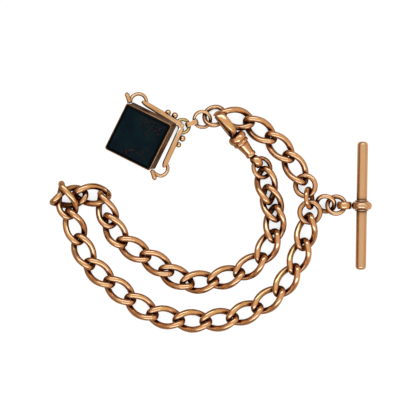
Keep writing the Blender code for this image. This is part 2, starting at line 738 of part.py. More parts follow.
# ------------------------------------------------------------------ fob
# Own axes: X along the swivel axis, Y towards the bow on the table, Z up. The stone leans about X.
FOB_X = np.array([FOB_AXIS[0], FOB_AXIS[1], 0.0]) / math.hypot(*FOB_AXIS)
FOB_Y = np.array([-FOB_X[1], FOB_X[0], 0.0])
FOB_AT = place(*FOB_CENTRE, FOB_AXIS_Z)
FRAME_NORMAL = np.array([0, 0, 1.0]) + FOB_FRAME_SLOPE * FOB_Y
FRAME_NORMAL /= np.linalg.norm(FRAME_NORMAL)
STONE_AXES = turn_about(FOB_X, FOB_TILT) @ np.stack([FOB_X, FOB_Y, np.cross(FOB_X, FOB_Y)], 1)


def on_frame(px, py, lift=0.0):
    """A photograph point on the plane of the fob's frame."""
    spot = place(px, py)
    out = (spot - FOB_AT)[:2] @ FOB_Y[:2]
    spot[2] = FOB_AXIS_Z - FOB_FRAME_SLOPE * out
    return spot + FRAME_NORMAL * lift


def on_stone(body):
    points, faces = body
    return moved(points, STONE_AXES, FOB_AT), faces


def square(half, corner, cut, z):
    """A diamond outline whose points lie on X and Y: eased corners on Y, more cut away at the pins."""
    out = []
    reach = half * math.sqrt(2)
    for k in range(4):
        ease = cut if k % 2 == 0 else corner
        a = k * math.pi / 2
        for side in (-1, 1):
            out.append(
                (
                    (reach - ease) * math.cos(a) - side * ease * math.sin(a),
                    ((reach - ease) * math.sin(a) + side * ease * math.cos(a)) * STONE_STRETCH,
                    z,
                )
            )
    return out


def stacked(levels):
    """A solid from outlines of equal count stacked on each other."""
    count = len(levels[0])
    points = [p for level in levels for p in level]
    faces = grid_faces(len(levels), count, False)
    faces.append(tuple(range(count))[::-1])
    faces.append(tuple((len(levels) - 1) * count + c for c in range(count)))
    return points, faces


HALF = STONE_SIDE / 2
RIM = STONE_THICK / 2 - 0.42
JOINTS["fob_stone"] = ("fob_frame", FOB_AT, FOB_X)
bezel = solid(
    "fob_bezel", FOB_GOLD, FOB_AT,
    *on_stone(
        stacked(
            [
                square(HALF - 0.06, 0.5, 0.38, -RIM), square(HALF, 0.5, 0.38, -RIM + 0.25),
                square(HALF - 0.1, 0.5, 0.38, -0.3), square(HALF - 0.1, 0.5, 0.38, 0.3),
                square(HALF, 0.5, 0.38, RIM - 0.25), square(HALF - 0.06, 0.5, 0.38, RIM),
            ]
        )
    ),
)
recesses = [
    on_stone(stacked([square(HALF - 0.32, 0.35, 0.3, z0), square(HALF - 0.32, 0.35, 0.3, z1)]))
    for z0, z1 in ((0.35, 4.0), (-4.0, -0.35))
]
boolean(bezel, recesses, "DIFFERENCE")
for name, way in (("fob_stone_front", 1), ("fob_stone_back", -1)):
    levels = [
        square(HALF - 0.38, 0.4, 0.3, way * 0.4), square(HALF - 0.38, 0.4, 0.3, way * (RIM + 0.04)),
        square(HALF - 1.1, 0.5, 0.28, way * STONE_THICK / 2),
    ]
    solid(name, STONE, FOB_AT, *on_stone(stacked(levels[::way])), metallic=0.0, roughness=0.1)

PIN_START = (HALF * math.sqrt(2) - 0.38) + 0.06
PIN_END = PIN_START + 3.5
for name, way in (("fob_pin_upper", -1), ("fob_pin_lower", 1)):
    profile = [
        (PIN_START, 0), (PIN_START, 0.36), (PIN_END - 0.3, 0.36), (PIN_END - 0.3, 0.5),
        (PIN_END - 0.08, 0.5), (PIN_END, 0.4), (PIN_END, 0),
    ]
    points, faces = turned([(way * x, r) for x, r in profile], 10, False)
    solid(name, FOB_GOLD, FOB_AT, *on_stone((points, faces)))

# The frame: two flat arms that meet at the bow, a scroll from each arm's tip to a knuckle on the
# swivel axis, two beads on each arm and the bow.
CORNER = (180.7, 125.6)
UPPER_ARM = [(142.2, 101.6), (146.3, 104.4), (152.95, 108.3), (181.05, 125.0)]
RIGHT_ARM = [(181.7, 127.6), (167.3, 159.2), (165.0, 164.0), (163.8, 167.6)]
ARM_HALVES = [0.35, 0.72, 0.84, 0.9]
ARM_THICK = 0.62


def arm(spots, halves):
    line = [on_frame(*spot) for spot in spots]
    way = line[-1] - line[0]
    across_arm = np.cross(FRAME_NORMAL, way)
    return open_loft(line, [across_arm] * len(line), [(h, ARM_THICK) for h in halves], 8, 3.2)


BOW_AT = on_frame(188.9, 124.4)
JOINTS["fob_frame"] = (
    "fob_bail",
    BOW_AT,
    -np.array([-BAIL_WAY[1], BAIL_WAY[0], 0]) / np.linalg.norm(BAIL_WAY),
)
frame = solid("fob_frame", FOB_GOLD, BOW_AT, *arm(UPPER_ARM, ARM_HALVES))


def bent_wire(spots, radius, steps=4, sides=6):
    line = smooth_path([on_frame(*spot) for spot in spots], steps)
    return open_loft(line, [FRAME_NORMAL] * len(line), [(radius, radius)] * len(line), sides)


KNUCKLE_START = PIN_START + 0.3
KNUCKLE_END = PIN_END - 0.42


def knuckle_rod(way, radius, start, end):
    return rod(FOB_AT + FOB_X * way * start, FOB_AT + FOB_X * way * end, radius, 10)


joins = [
    arm(RIGHT_ARM, ARM_HALVES[::-1]),
    rod(on_frame(*CORNER, -ARM_THICK * 0.97), on_frame(*CORNER, ARM_THICK * 0.97), 1.0, 12),
    bent_wire([(130.9, 103.4), (131.5, 99.4), (134.4, 95.8), (139, 94.3), (143.5, 95.8), (146.2, 99.5), (146.8, 104.4)], 0.57),
    bent_wire([(153.2, 172.2), (156.8, 174.7), (161.1, 176.0), (165.1, 174.4), (167.6, 170.7), (167.6, 166.6), (165.4, 162.8)], 0.57),
    knuckle_rod(1, 0.76, KNUCKLE_START, KNUCKLE_END),
    knuckle_rod(-1, 0.76, KNUCKLE_START, KNUCKLE_END),
    bent_wire([(177.0, 122.0), (180.6, 119.7), (185.4, 120.0), (188.6, 123.2), (189.1, 127.2), (187.0, 131.0), (183, 132.8), (178.8, 131.2)], 0.55),
    ball(on_frame(168.0, 112.6, 0.1), 0.92),
    ball(on_frame(174.6, 115.6, 0.2), 1.02),
    ball(on_frame(182.2, 138.6, 0.2), 1.0),
    ball(on_frame(178.5, 144.9, 0.1), 0.86),
]
boolean(frame, joins, "UNION")
boolean(
    frame,
    [knuckle_rod(w, 0.36 + RUN_FIT, KNUCKLE_START - 0.5, KNUCKLE_END + 0.5) for w in (1, -1)],
    "DIFFERENCE",
)

points, faces = loop_tube(
    bail_line(*BAIL_HALF, 16), BAIL_HALF_WIDTH, BAIL_WALL, 8, wide_axis=(0, 0, 1), power=4.0
)
solid("fob_bail", FOB_GOLD, JOINTS["fob_bail"][1], moved(points, BAIL_AXES @ UPRIGHT, BAIL_MID), faces)
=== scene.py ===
import math

import bpy
import numpy as np
from mathutils import Matrix, Vector
from mathutils.bvhtree import BVHTree


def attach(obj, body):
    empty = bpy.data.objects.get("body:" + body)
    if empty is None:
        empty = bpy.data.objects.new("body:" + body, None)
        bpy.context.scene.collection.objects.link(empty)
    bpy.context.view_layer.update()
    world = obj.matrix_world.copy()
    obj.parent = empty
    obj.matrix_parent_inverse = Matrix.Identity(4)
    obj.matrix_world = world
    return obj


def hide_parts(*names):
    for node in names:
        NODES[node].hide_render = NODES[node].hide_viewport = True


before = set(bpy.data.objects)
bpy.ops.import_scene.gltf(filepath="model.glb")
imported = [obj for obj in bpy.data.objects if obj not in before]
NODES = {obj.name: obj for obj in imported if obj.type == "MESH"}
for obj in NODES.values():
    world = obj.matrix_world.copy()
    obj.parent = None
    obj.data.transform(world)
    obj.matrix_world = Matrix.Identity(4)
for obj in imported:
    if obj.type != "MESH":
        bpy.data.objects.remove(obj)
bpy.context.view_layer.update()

# ---------------------------------------------------------------- dimensions, in millimetres
PX = 0.3125
MID = (210.73, 211.49)

WIRE_R = 0.965
LINK_A = 12.6 / 2 - WIRE_R
LINK_B = 7.4 / 2 - WIRE_R
LINK_POWER = 2.35
LINK_TWIST = math.radians(60.0)

RINGS = {
    "ring_short_run": (3.16, 0.82),
    "ring_junction": (2.92, 0.75),
    "ring_long_run": (3.16, 0.82),
    "ring_branch_inner": (2.74, 0.72),
    "ring_branch_outer": (2.74, 0.72),
    "ring_clip": (3.02, 0.67),
    "ring_end": (3.2, 0.73),
    "ring_fob": (2.56, 0.55),
}

BAR_R, BAR_HALF, BAR_Z = 1.64, 20.0, 3.2
COLLAR_R, COLLAR_HALF = 3.15, 1.16
EYE_R, EYE_WALL, EYE_HALF_WIDTH = 1.68, 0.62, 1.2
RUN_FIT = 0.07

STONE_SIDE, STONE_THICK, STONE_STRETCH = 15.75, 6.0, 1.067


def place(px, py, z=0.0):
    return np.array([(px - MID[0]) * PX, (MID[1] - py) * PX, z])


def turn_about(axis, angle):
    return np.array(Matrix.Rotation(angle, 3, Vector(axis)))


def heading_frame(direction, roll=0.0, pitch=0.0):
    yaw = math.atan2(direction[1], direction[0])
    return (
        turn_about((0, 0, 1), yaw)
        @ turn_about((0, 1, 0), -pitch)
        @ turn_about((1, 0, 0), roll)
    )


def unit(v):
    v = np.asarray(v, float)
    return v / np.linalg.norm(v)


# ---------------------------------------------------------------- shapes: (points, faces) in millimetres
def grid_faces(rows, columns, closed_rows):
    faces = []
    for r in range(rows if closed_rows else rows - 1):
        for c in range(columns):
            a, b = r * columns + c, r * columns + (c + 1) % columns
            n = ((r + 1) % rows) * columns
            faces.append((a, b, n + (c + 1) % columns, n + c))
    return faces


def section(sides, half_wide, half_thick, power=2.0):
    angle = (np.arange(sides) + 0.5) * 2 * math.pi / sides
    c, s = np.cos(angle), np.sin(angle)
    return np.stack(
        [
            half_wide * np.sign(c) * np.abs(c) ** (2 / power),
            half_thick * np.sign(s) * np.abs(s) ** (2 / power),
        ],
        1,
    )


def link_line(count):
    angle = (np.arange(count) + 0.5) * 2 * math.pi / count
    c, s = np.cos(angle), np.sin(angle)
    x = LINK_A * np.sign(c) * np.abs(c) ** (2 / LINK_POWER)
    y = LINK_B * np.sign(s) * np.abs(s) ** (2 / LINK_POWER)
    turn = -LINK_TWIST * x / LINK_A
    return np.stack([x, y * np.cos(turn), y * np.sin(turn)], 1)


def even(line, count):
    """A closed line with its points spread evenly along it."""
    loop = np.concatenate([line, line[:1]])
    run = np.concatenate([[0], np.cumsum(np.linalg.norm(np.diff(loop, axis=0), axis=1))])
    at = np.linspace(0, run[-1], count, endpoint=False)
    return np.stack([np.interp(at, run, loop[:, k]) for k in range(3)], 1)


def ring_line(radius, count):
    angle = np.arange(count) * 2 * math.pi / count
    return np.stack([radius * np.cos(angle), radius * np.sin(angle), 0 * angle], 1)


def loop_tube(line, radii, sides):
    """A closed round tube along a closed line, with a radius for each of its points."""
    count = len(line)
    tangents = np.roll(line, -1, 0) - np.roll(line, 1, 0)
    tangents /= np.linalg.norm(tangents, axis=1)[:, None]
    outline = section(sides, 1, 1)
    side = unit(np.cross(tangents[0], (0.31, 0.52, 0.79)))
    frames = [side]
    for k in range(1, count + 1):
        t = tangents[k % count]
        side = unit(side - t * (side @ t))
        frames.append(side)
    left = math.atan2(np.cross(frames[count], frames[0]) @ tangents[0], frames[count] @ frames[0])
    points = []
    for k in range(count):
        wide = turn_about(tangents[k], left * k / count) @ frames[k]
        thick = np.cross(tangents[k], wide)
        points += [line[k] + (wide * u + thick * v) * radii[k] for u, v in outline]
    return points, grid_faces(count, sides, True)


def loop_band(line, half_wide, half_thick, sides, wide_axis, power):
    """A closed band along a closed flat line, its width along one axis."""
    count = len(line)
    tangents = np.roll(line, -1, 0) - np.roll(line, 1, 0)
    tangents /= np.linalg.norm(tangents, axis=1)[:, None]
    wide = np.asarray(wide_axis, float)
    outline = section(sides, half_wide, half_thick, power)
    points = []
    for k in range(count):
        thick = np.cross(tangents[k], wide)
        points += [line[k] + wide * u + thick * v for u, v in outline]
    return points, grid_faces(count, sides, True)


def smooth(spots, steps):
    """Points of any dimension along a smooth curve through the given ones."""
    spots = np.asarray(spots, float)
    ends = np.concatenate([2 * spots[:1] - spots[1:2], spots, 2 * spots[-1:] - spots[-2:-1]])
    out = []
    for k in range(len(spots) - 1):
        a, b, c, d = ends[k : k + 4]
        for t in np.arange(steps) / steps:
            out.append(
                0.5 * (2 * b + (c - a) * t + (2 * a - 5 * b + 4 * c - d) * t**2 + (3 * b - a - 3 * c + d) * t**3)
            )
    out.append(spots[-1])
    return np.array(out)


def loft(line, wides, outlines, ease=(0.0, 0.0)):
    """A capped loft along an open line from one outline a point. ease rounds the start and the end over that length."""
    line = np.asarray(line, float)
    tangents = np.gradient(line, axis=0)
    tangents /= np.linalg.norm(tangents, axis=1)[:, None]
    rows = [(line[k], tangents[k], wides[k], outlines[k]) for k in range(len(line))]
    bends = np.linspace(0, math.radians(82), 7)
    if ease[0] > 0:
        at, t, w, o = rows[0]
        rows[:1] = [(at + t * ease[0] * (1 - math.sin(a)), t, w, np.asarray(o) * math.cos(a)) for a in bends[::-1]]
    if ease[1] > 0:
        at, t, w, o = rows[-1]
        rows[-1:] = [(at - t * ease[1] * (1 - math.sin(a)), t, w, np.asarray(o) * math.cos(a)) for a in bends]
    points = []
    for at, t, w, o in rows:
        wide = unit(np.asarray(w, float) - t * (np.asarray(w, float) @ t))
        thick = np.cross(t, wide)
        points += [at + wide * u + thick * v for u, v in o]
    sides = len(outlines[0])
    faces = grid_faces(len(rows), sides, False)
    faces.append(tuple(range(sides))[::-1])
    faces.append(tuple((len(rows) - 1) * sides + c for c in range(sides)))
    return points, faces


def rod(start, end, radius, sides, ease):
    start, end = np.asarray(start, float), np.asarray(end, float)
    way = end - start
    pick = (0, 0, 1) if abs(way[2]) < 0.9 * np.linalg.norm(way) else (1, 0, 0)
    wide = np.cross(way, pick)
    line = [start + way * t for t in np.linspace(0, 1, 6)]
    return loft(line, [wide] * 6, [section(sides, radius, radius)] * 6, (ease, ease))


def fillet(profile, radius, closed, steps=4):
    """Rounds the corners of a profile of (x, radius) points."""
    profile = [np.asarray(p, float) for p in profile]
    count = len(profile)
    out = []
    for k, p in enumerate(profile):
        if not closed and k in (0, count - 1):
            out.append(p)
            continue
        a, b = profile[k - 1] - p, profile[(k + 1) % count] - p
        la, lb = np.linalg.norm(a), np.linalg.norm(b)
        ra, rb = min(radius, 0.46 * la), min(radius, 0.46 * lb)
        s, e = p + a / la * ra, p + b / lb * rb
        for t in np.linspace(0, 1, steps + 1):
            out.append((1 - t) ** 2 * s + 2 * t * (1 - t) * p + t**2 * e)
    return out


def lathe(profile, steps, closed):
    """A shape turned about X. An open profile starts and ends on the axis."""
    turn = [(math.cos(2 * math.pi * k / steps), math.sin(2 * math.pi * k / steps)) for k in range(steps)]
    if closed:
        points = [(x, r * c, r * s) for c, s in turn for x, r in profile]
        return points, grid_faces(steps, len(profile), True)
    inner = profile[1:-1]
    points = [(profile[0][0], 0, 0), (profile[-1][0], 0, 0)]
    points += [(x, r * c, r * s) for x, r in inner for c, s in turn]
    faces = []
    last = 2 + (len(inner) - 1) * steps
    for k in range(steps):
        n = (k + 1) % steps
        faces.append((0, 2 + n, 2 + k))
        faces.append((1, last + k, last + n))
    for m in range(len(inner) - 1):
        a = 2 + m * steps
        for k in range(steps):
            n = (k + 1) % steps
            faces.append((a + k, a + n, a + steps + n, a + steps + k))
    return points, faces


def ball(middle, radius, sides=28, rings=16):
    profile = [
        (-radius * math.cos(math.pi * k / (rings + 1)), radius * math.sin(math.pi * k / (rings + 1)))
        for k in range(rings + 2)
    ]
    points, faces = lathe(profile, sides, False)
    return [np.asarray(p) + middle for p in points], faces


def moved(body, axes, middle):
    points, faces = body
    return [axes @ np.asarray(p, float) + middle for p in points], faces


def together(*bodies):
    points, faces = [], []
    for p, f in bodies:
        base = len(points)
        points += list(p)
        faces += [tuple(i + base for i in face) for face in f]
    return points, faces


# ---------------------------------------------------------------- pieces
PIECES = []


def mesh_of(name, body):
    points, faces = body
    mesh = bpy.data.meshes.new(name)
    mesh.from_pydata([tuple(np.asarray(p, float) * 0.001) for p in points], [], faces)
    import bmesh

    bm = bmesh.new()
    bm.from_mesh(mesh)
    bmesh.ops.recalc_face_normals(bm, faces=bm.faces[:])
    bm.to_mesh(mesh)
    bm.free()
    return mesh


def finish_piece(name, mesh, material, carrier, nodes, sharp=38.0):
    mesh.shade_smooth()
    mesh.set_sharp_from_angle(angle=math.radians(sharp))
    obj = bpy.data.objects.new(name, mesh)
    bpy.context.scene.collection.objects.link(obj)
    mesh.materials.append(material)
    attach(obj, carrier)
    if nodes:
        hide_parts(*nodes)
    PIECES.append(obj)
    return obj


def piece(name, body, material, carrier, nodes=(), sharp=38.0):
    return finish_piece(name, mesh_of(name, body), material, carrier, nodes, sharp)


def carved(name, body, joins, cuts):
    """The mesh of a body with others joined to it and cut from it."""
    base = bpy.data.objects.new(name + "_base", mesh_of(name, body))
    bpy.context.scene.collection.objects.link(base)
    helpers = []
    for operation, tools in (("UNION", joins), ("DIFFERENCE", cuts)):
        for tool in tools:
            helper = bpy.data.objects.new(name + "_tool", mesh_of(name + "_tool", tool))
            bpy.context.scene.collection.objects.link(helper)
            step = base.modifiers.new(operation.lower(), "BOOLEAN")
            step.operation, step.solver, step.object = operation, "EXACT", helper
            helpers.append(helper)
    bpy.context.view_layer.update()
    mesh = bpy.data.meshes.new_from_object(base.evaluated_get(bpy.context.evaluated_depsgraph_get()))
    mesh.name = name
    for o in [base, *helpers]:
        bpy.data.objects.remove(o, do_unlink=True)
    return mesh


# ---------------------------------------------------------------- materials
def nodes_of(name):
    material = bpy.data.materials.new(name)
    material.use_nodes = True
    tree = material.node_tree
    return material, tree, tree.nodes["Principled BSDF"]


def noise(tree, where, scale, detail=4.0, rough=0.55, lacunarity=2.0):
    n = tree.nodes.new("ShaderNodeTexNoise")
    n.inputs["Scale"].default_value = scale
    n.inputs["Detail"].default_value = detail
    n.inputs["Roughness"].default_value = rough
    n.inputs["Lacunarity"].default_value = lacunarity
    tree.links.new(where, n.inputs["Vector"])
    return n.outputs["Fac"]


def spread(tree, value, low, high, to_low=0.0, to_high=1.0):
    n = tree.nodes.new("ShaderNodeMapRange")
    n.interpolation_type = "SMOOTHSTEP"
    for key, v in (("From Min", low), ("From Max", high), ("To Min", to_low), ("To Max", to_high)):
        n.inputs[key].default_value = v
    tree.links.new(value, n.inputs["Value"])
    return n.outputs["Result"]


def math_node(tree, operation, a, b):
    n = tree.nodes.new("ShaderNodeMath")
    n.operation = operation
    for k, v in enumerate((a, b)):
        if isinstance(v, (int, float)):
            n.inputs[k].default_value = v
        else:
            tree.links.new(v, n.inputs[k])
    return n.outputs[0]


def tint(tree, fac, a, b):
    n = tree.nodes.new("ShaderNodeMix")
    n.data_type = "RGBA"
    for k, v in ((0, fac), (6, a), (7, b)):
        if isinstance(v, (tuple, list)):
            n.inputs[k].default_value = (*v, 1.0)
        elif isinstance(v, (int, float)):
            n.inputs[k].default_value = v
        else:
            tree.links.new(v, n.inputs[k])
    return n.outputs[2]


def attribute(tree, name):
    n = tree.nodes.new("ShaderNodeAttribute")
    n.attribute_name = name
    return n.outputs["Fac"]


def metal(name, base, worn_and_glint_colour, shade_colour, rough, lines=None):
    """Old polished gold: even copper tone with worn, yellower areas (on the fob's arms a painted highlight near their
    corner), painted shade in the crevices and wherever a point is shut in, hairline scratches.
    """
    material, tree, shader = nodes_of(name)
    where = tree.nodes.new("ShaderNodeTexCoord").outputs["Object"]
    broad = noise(tree, where, 210.0, 3.0)
    patch = noise(tree, where, 620.0, 5.0, 0.6)
    stretch = tree.nodes.new("ShaderNodeMapping")
    stretch.inputs["Scale"].default_value = lines or (900.0, 7800.0, 3000.0)
    if not lines:
        stretch.inputs["Rotation"].default_value = (0.4, 0.2, 0.6)
    tree.links.new(where, stretch.inputs["Vector"])
    hair = noise(tree, stretch.outputs["Vector"], 1.0, 4.0, 0.65)
    painted_shade = attribute(tree, "painted_shade")
    wear_and_glint = attribute(tree, "wear_and_glint")
    yellow = math_node(tree, "ADD", spread(tree, broad, 0.45, 0.75, 0.0, 0.25), math_node(tree, "MULTIPLY", wear_and_glint, spread(tree, patch, 0.3, 0.6, 0.35, 1.0)))
    colour = tint(tree, yellow, base, worn_and_glint_colour)
    dull = math_node(tree, "ADD", spread(tree, patch, 0.5, 0.78, 0.0, 0.18), spread(tree, hair, 0.5, 0.78, 0.0, 0.5 if lines else 0.08))
    colour = tint(tree, dull, colour, tuple(0.6 * c for c in base))
    # Painted shade: points that are shut in are painted towards the shade colour.
    shade_mix = math_node(tree, "MULTIPLY", spread(tree, painted_shade, 0.05, 0.57), spread(tree, patch, 0.2, 0.65, 0.82, 1.0))
    colour = tint(tree, shade_mix, colour, shade_colour)
    tree.links.new(colour, shader.inputs["Base Color"])
    shader.inputs["Metallic"].default_value = 1.0
    level = math_node(tree, "ADD", spread(tree, hair, 0.35, 0.75, rough - 0.02, rough + 0.05), spread(tree, painted_shade, 0.1, 0.8, 0.0, 0.2))
    tree.links.new(math_node(tree, "ADD", level, spread(tree, patch, 0.45, 0.8, 0.0, 0.07)), shader.inputs["Roughness"])
    bump = tree.nodes.new("ShaderNodeBump")
    bump.inputs["Strength"].default_value = 0.014
    bump.inputs["Distance"].default_value = 0.00004
    height = math_node(tree, "ADD", math_node(tree, "MULTIPLY", hair, 0.5), math_node(tree, "MULTIPLY", broad, 0.5))
    tree.links.new(height, bump.inputs["Height"])
    tree.links.new(bump.outputs["Normal"], shader.inputs["Normal"])
    return material


ROSE = metal("rose_gold", (0.83, 0.40, 0.165), (0.84, 0.50, 0.155), (0.15, 0.045, 0.012), 0.13)
BAR_GOLD = metal("bar_gold", (0.775, 0.42, 0.198), (0.80, 0.465, 0.21), (0.14, 0.05, 0.016), 0.16, (1500.0, 45.0, 1500.0))
# The fob gold's cream second colour also paints the highlight near the arms' corner.
FOB = metal("fob_gold", (0.82, 0.425, 0.18), (0.88, 0.585, 0.33), (0.10, 0.034, 0.010), 0.14)
FOB_WIRE = metal("fob_wire_gold", (0.74, 0.42, 0.125), (0.70, 0.44, 0.09), (0.10, 0.040, 0.008), 0.15)


def stone_material():
    """Polished dark green-black stone, clouded blue-green, with clusters of small red-brown flecks."""
    material, tree, shader = nodes_of("bloodstone")
    where = tree.nodes.new("ShaderNodeTexCoord").outputs["Object"]
    cloud = noise(tree, where, 150.0, 4.0, 0.6)
    veil = noise(tree, where, 420.0, 5.0, 0.6)
    colour = tint(tree, spread(tree, cloud, 0.32, 0.7), (0.0019, 0.0070, 0.0100), (0.0032, 0.0142, 0.0128))
    colour = tint(tree, spread(tree, veil, 0.55, 0.8, 0.0, 0.7), colour, (0.006, 0.016, 0.013))
    zone = spread(tree, noise(tree, where, 190.0, 3.0, 0.5, 2.3), 0.52, 0.70, 0.0, 0.3)
    for (px, py), size, amount in (((129.3, 150.6), 2.0, 1.0), ((154.5, 127.0), 6.0, 0.6), ((141.0, 120.5), 3.0, 0.35), ((144.0, 155.0), 3.0, 0.3)):
        spot = place(px, py) * 0.001
        inside = tree.nodes.new("ShaderNodeMapping")
        inside.inputs["Scale"].default_value = (1000.0 / size, 1000.0 / size, 0.0)
        inside.inputs["Location"].default_value = (-1000.0 * spot[0] / size, -1000.0 * spot[1] / size, 0.0)
        tree.links.new(where, inside.inputs["Vector"])
        fade = tree.nodes.new("ShaderNodeTexGradient")
        fade.gradient_type = "SPHERICAL"
        tree.links.new(inside.outputs["Vector"], fade.inputs["Vector"])
        zone = math_node(tree, "ADD", zone, spread(tree, fade.outputs["Fac"], 0.0, 0.8, 0.0, amount))
    speck = spread(tree, noise(tree, where, 1500.0, 3.0, 0.7), 0.54, 0.64)
    fleck = tree.nodes.new("ShaderNodeClamp")
    tree.links.new(math_node(tree, "MULTIPLY", math_node(tree, "MULTIPLY", zone, speck), 0.85), fleck.inputs["Value"])
    colour = tint(tree, fleck.outputs["Result"], colour, (0.095, 0.013, 0.007))
    # Painted shade: the stone's bevels and sides are painted near black.
    colour = tint(tree, spread(tree, attribute(tree, "painted_shade"), 0.0, 1.0, 0.0, 0.85), colour, (0.0008, 0.0012, 0.0012))
    tree.links.new(colour, shader.inputs["Base Color"])
    shader.inputs["Specular IOR Level"].default_value = 0.04
    shader.inputs["Specular Tint"].default_value = (1.0, 0.66, 0.42, 1.0)
    tree.links.new(spread(tree, veil, 0.3, 0.8, 0.05, 0.13), shader.inputs["Roughness"])
    bump = tree.nodes.new("ShaderNodeBump")
    bump.inputs["Strength"].default_value = 0.05
    bump.inputs["Distance"].default_value = 0.00005
    tree.links.new(noise(tree, where, 300.0, 2.0), bump.inputs["Height"])
    tree.links.new(bump.outputs["Normal"], shader.inputs["Normal"])
    return material


STONE = stone_material()
STEEL = metal("spring_steel", (0.46, 0.43, 0.40), (0.5, 0.44, 0.36), (0.09, 0.06, 0.04), 0.3)


# ---------------------------------------------------------------- links and rings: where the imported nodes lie
def lie_of(name):
    """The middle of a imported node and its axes, from its longest to its shortest spread."""
    mesh = NODES[name].data
    co = np.empty(len(mesh.vertices) * 3)
    mesh.vertices.foreach_get("co", co)
    co = np.unique(np.round(co.reshape(-1, 3) * 1000, 4), axis=0)
    middle = co.mean(0)
    spread_of, axes = np.linalg.eigh(np.cov((co - middle).T))
    x, y = axes[:, 2], axes[:, 1]
    if x[int(np.abs(x).argmax())] < 0:
        x = -x
    if y[int(np.abs(y).argmax())] < 0:
        y = -y
    return middle, np.stack([x, y, np.cross(x, y)], 1)


LINK_STEPS, LINK_SIDES = 104, 22
link_curve = even(link_line(720), LINK_STEPS)
# Wire is a little thinner where the next link bears on it.
reach = np.abs(link_curve[:, 0]) / LINK_A
link_radii = WIRE_R * (1 - 0.018 * np.clip((reach - 0.8) / 0.2, 0, 1))
LINK_BODY = loop_tube(link_curve, link_radii, LINK_SIDES)

RUBBED_SIDE = unit((-0.75, 0.65))
for name in sorted(n for n in NODES if "_link_" in n):
    middle, axes = lie_of(name)
    body = moved(LINK_BODY, axes, middle)
    obj = piece(name + "_wire", body, ROSE, name, [name])
    # One strand of each outer link is rubbed yellower along its middle.
    points = np.array(body[0])
    side = (points - middle)[:, :2] @ RUBBED_SIDE
    along = np.abs((points - middle) @ axes[:, 0]) / LINK_A
    amount = np.clip((side - 1.2) / 0.8, 0, 1) * np.clip((0.62 - along) / 0.3, 0, 1)
    amount = amount * (0.6 if name.startswith("outer") else 0.15)
    layer = obj.data.attributes.new("wear_and_glint", "FLOAT", "POINT")
    layer.data.foreach_set("value", amount.astype(np.float32))

RING_STEPS, RING_SIDES = 120, 20
for k, (name, (radius, wire)) in enumerate(RINGS.items()):
    middle, axes = lie_of(name)
    angle = np.arange(RING_STEPS) * 360.0 / RING_STEPS
    # Each jump ring is cut once: a fine groove where its ends were closed.
    off = np.abs((angle - (40 + 67 * k) % 360 + 180) % 360 - 180)
    radii = wire * (1 - 0.09 * np.exp(-((off / 2.2) ** 2)))
    piece(name + "_wire", moved(loop_tube(ring_line(radius, RING_STEPS), radii, RING_SIDES), axes, middle), ROSE, name, [name])

# ---------------------------------------------------------------- T-bar
BAR_TOP = place(362.7, 141.0, BAR_Z)
BAR_LOW = place(360.6, 269.0, BAR_Z)
BAR_MID = place(361.55, 205.7, BAR_Z)
BAR_WAY = unit(BAR_TOP - BAR_LOW)
BAR_AXES = np.stack([np.cross(BAR_WAY, (0, 0, 1.0)), BAR_WAY, np.array([0, 0, 1.0])], 1)
BAR_EYE_AT = BAR_MID + BAR_AXES @ np.array([-(COLLAR_R + EYE_R + EYE_WALL + 0.04), 0, 0])
ALONG_BAR = np.stack([BAR_AXES[:, 1], BAR_AXES[:, 2], BAR_AXES[:, 0]], 1)
UPRIGHT = turn_about((1, 0, 0), math.pi / 2)

end = [
    (BAR_HALF - 1.1 * (1 - math.sin(a)), BAR_R - 1.1 * (1 - math.cos(a))) for a in np.linspace(0, math.pi / 2, 11)
]
shaft = [(x, BAR_R) for x in np.linspace(-BAR_HALF + 1.4, BAR_HALF - 1.4, 24)]
profile = [(-BAR_HALF, 0)] + [(-x, r) for x, r in end[::-1]] + shaft + end + [(BAR_HALF, 0)]
piece("tbar_bar_shaft", moved(lathe(profile, 48, False), ALONG_BAR, BAR_MID), BAR_GOLD, "tbar_bar", ["tbar_bar"])

bore = BAR_R + RUN_FIT
profile = fillet(
    [(-COLLAR_HALF, bore), (COLLAR_HALF, bore), (COLLAR_HALF, COLLAR_R - 0.6), (0.7 * COLLAR_HALF, COLLAR_R - 0.2),
     (0.25 * COLLAR_HALF, COLLAR_R), (-0.25 * COLLAR_HALF, COLLAR_R), (-0.7 * COLLAR_HALF, COLLAR_R - 0.2), (-COLLAR_HALF, COLLAR_R - 0.6)],
    0.3, True,
)
piece("tbar_collar_band", moved(lathe(profile, 56, True), ALONG_BAR, BAR_MID), BAR_GOLD, "tbar_collar", ["tbar_collar"])
for name, side in (("tbar_washer_top", 1), ("tbar_washer_bottom", -1)):
    x0, x1 = side * (COLLAR_HALF + 0.08), side * (COLLAR_HALF + 0.5)
    profile = fillet([(x0, BAR_R + 0.012), (x1, BAR_R + 0.012), (x1, 2.0), ((x0 + x1) / 2, 2.12), (x0, 2.14)], 0.12, True)
    piece(name + "_rim", moved(lathe(profile, 56, True), ALONG_BAR, BAR_MID), BAR_GOLD, "tbar_bar", [name])

eye_ring = loop_band(ring_line(EYE_R, 72), EYE_HALF_WIDTH, EYE_WALL, 28, (0, 0, 1), 1.9)
neck_line = [BAR_MID + BAR_AXES @ np.array([x, 0, 0]) for x in (-COLLAR_R - 0.03, -3.5, -3.72, -4.0)]
neck = loft(
    smooth(neck_line, 4), [(0, 0, 1)] * 13, [section(28, r, r, 2.2) for r in smooth([[1.02], [0.95], [0.96], [1.05]], 4)[:, 0]], (0.04, 0.0)
)
piece("tbar_eye_loop", together(moved(eye_ring, BAR_AXES @ UPRIGHT, BAR_EYE_AT), neck), ROSE, "tbar_collar", ["tbar_eye"])

